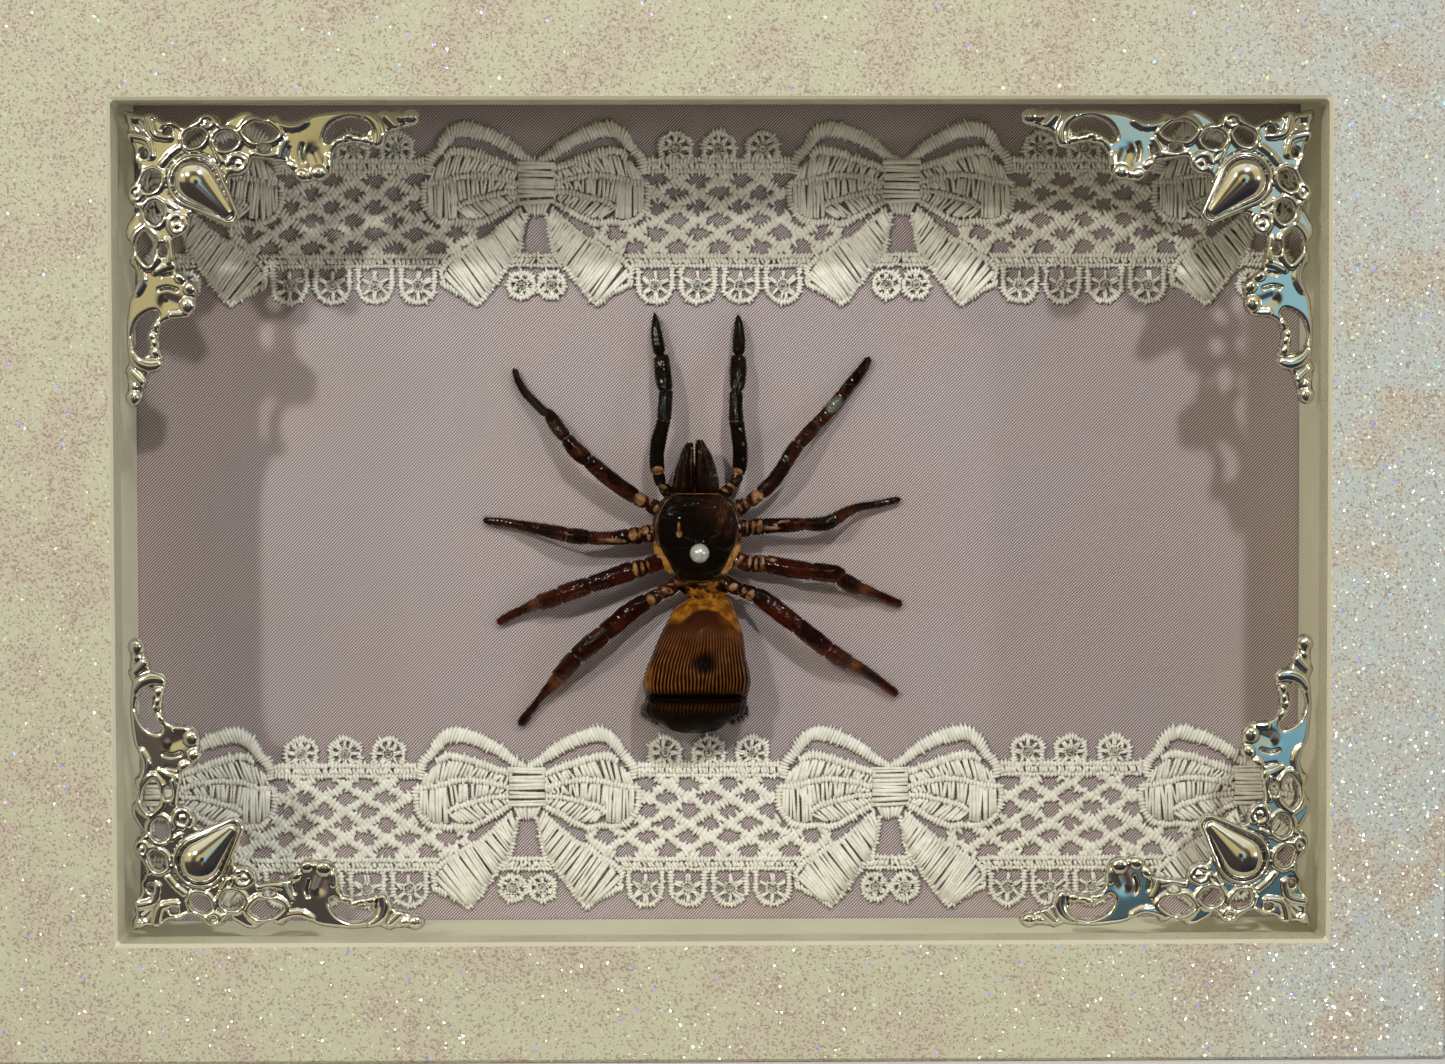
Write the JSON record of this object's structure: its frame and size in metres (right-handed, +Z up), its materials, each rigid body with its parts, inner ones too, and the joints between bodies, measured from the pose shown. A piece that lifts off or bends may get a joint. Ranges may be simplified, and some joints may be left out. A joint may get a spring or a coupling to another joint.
{
  "type": "framed trapdoor spider",
  "caption": "Pinned trapdoor spider on pink satin in a glazed cream shadow box, with bands of corded lace and bright cast filigree corners.",
  "frame": {"origin": "middle of the footprint, on the surface that the box stands on", "axes": "+X along the box's width, -Y the way that its front faces, +Z up"},
  "size_m": [0.1986, 0.046, 0.148],
  "materials": {
    "glitter_moulding": "cream paint full of fine glitter",
    "pane": "clear, polished",
    "liner_paint": "plain cream, satin",
    "satin": "dusty pink twill satin, soft sheen",
    "foam_core": "matt white foam core",
    "fibreboard": "smooth brown hardboard",
    "steel": "bright steel",
    "lace_thread": "white corded thread with glass stones",
    "bright_plating": "mirror bright plating over cast relief",
    "black_shell": "near black, glossy",
    "brown_shell": "dark brown, glossy",
    "red_brown_shell": "red brown, glossy",
    "abdomen_skin": "golden brown, ridged",
    "pearl": "pearl lustre"
  },
  "bodies": {
    "root": {"frame_moulding": "glitter_moulding", "glass_pane": "pane", "liner": "liner_paint", "satin_panel": "satin", "foam_board": "foam_core", "back_board": "fibreboard", "back_tab_1": "steel", "back_tab_2": "steel", "back_tab_3": "steel", "back_tab_4": "steel", "back_tab_5": "steel", "back_tab_6": "steel", "lace_lower": "lace_thread", "lace_upper": "lace_thread", "corner_top_left": "bright_plating", "corner_top_right": "bright_plating", "corner_bottom_left": "bright_plating", "corner_bottom_right": "bright_plating", "carapace": "black_shell", "abdomen": "abdomen_skin", "chelicera_left": "black_shell", "chelicera_right": "black_shell", "palp_left": "black_shell", "palp_right": "black_shell", "leg_left_1": "brown_shell", "leg_right_1": "brown_shell", "leg_left_2": "brown_shell", "leg_right_2": "brown_shell", "leg_left_3": "red_brown_shell", "leg_right_3": "red_brown_shell", "leg_left_4": "red_brown_shell", "leg_right_4": "red_brown_shell", "pin_shaft": "steel", "pin_pearl": "pearl"}
  },
  "joints": []
}
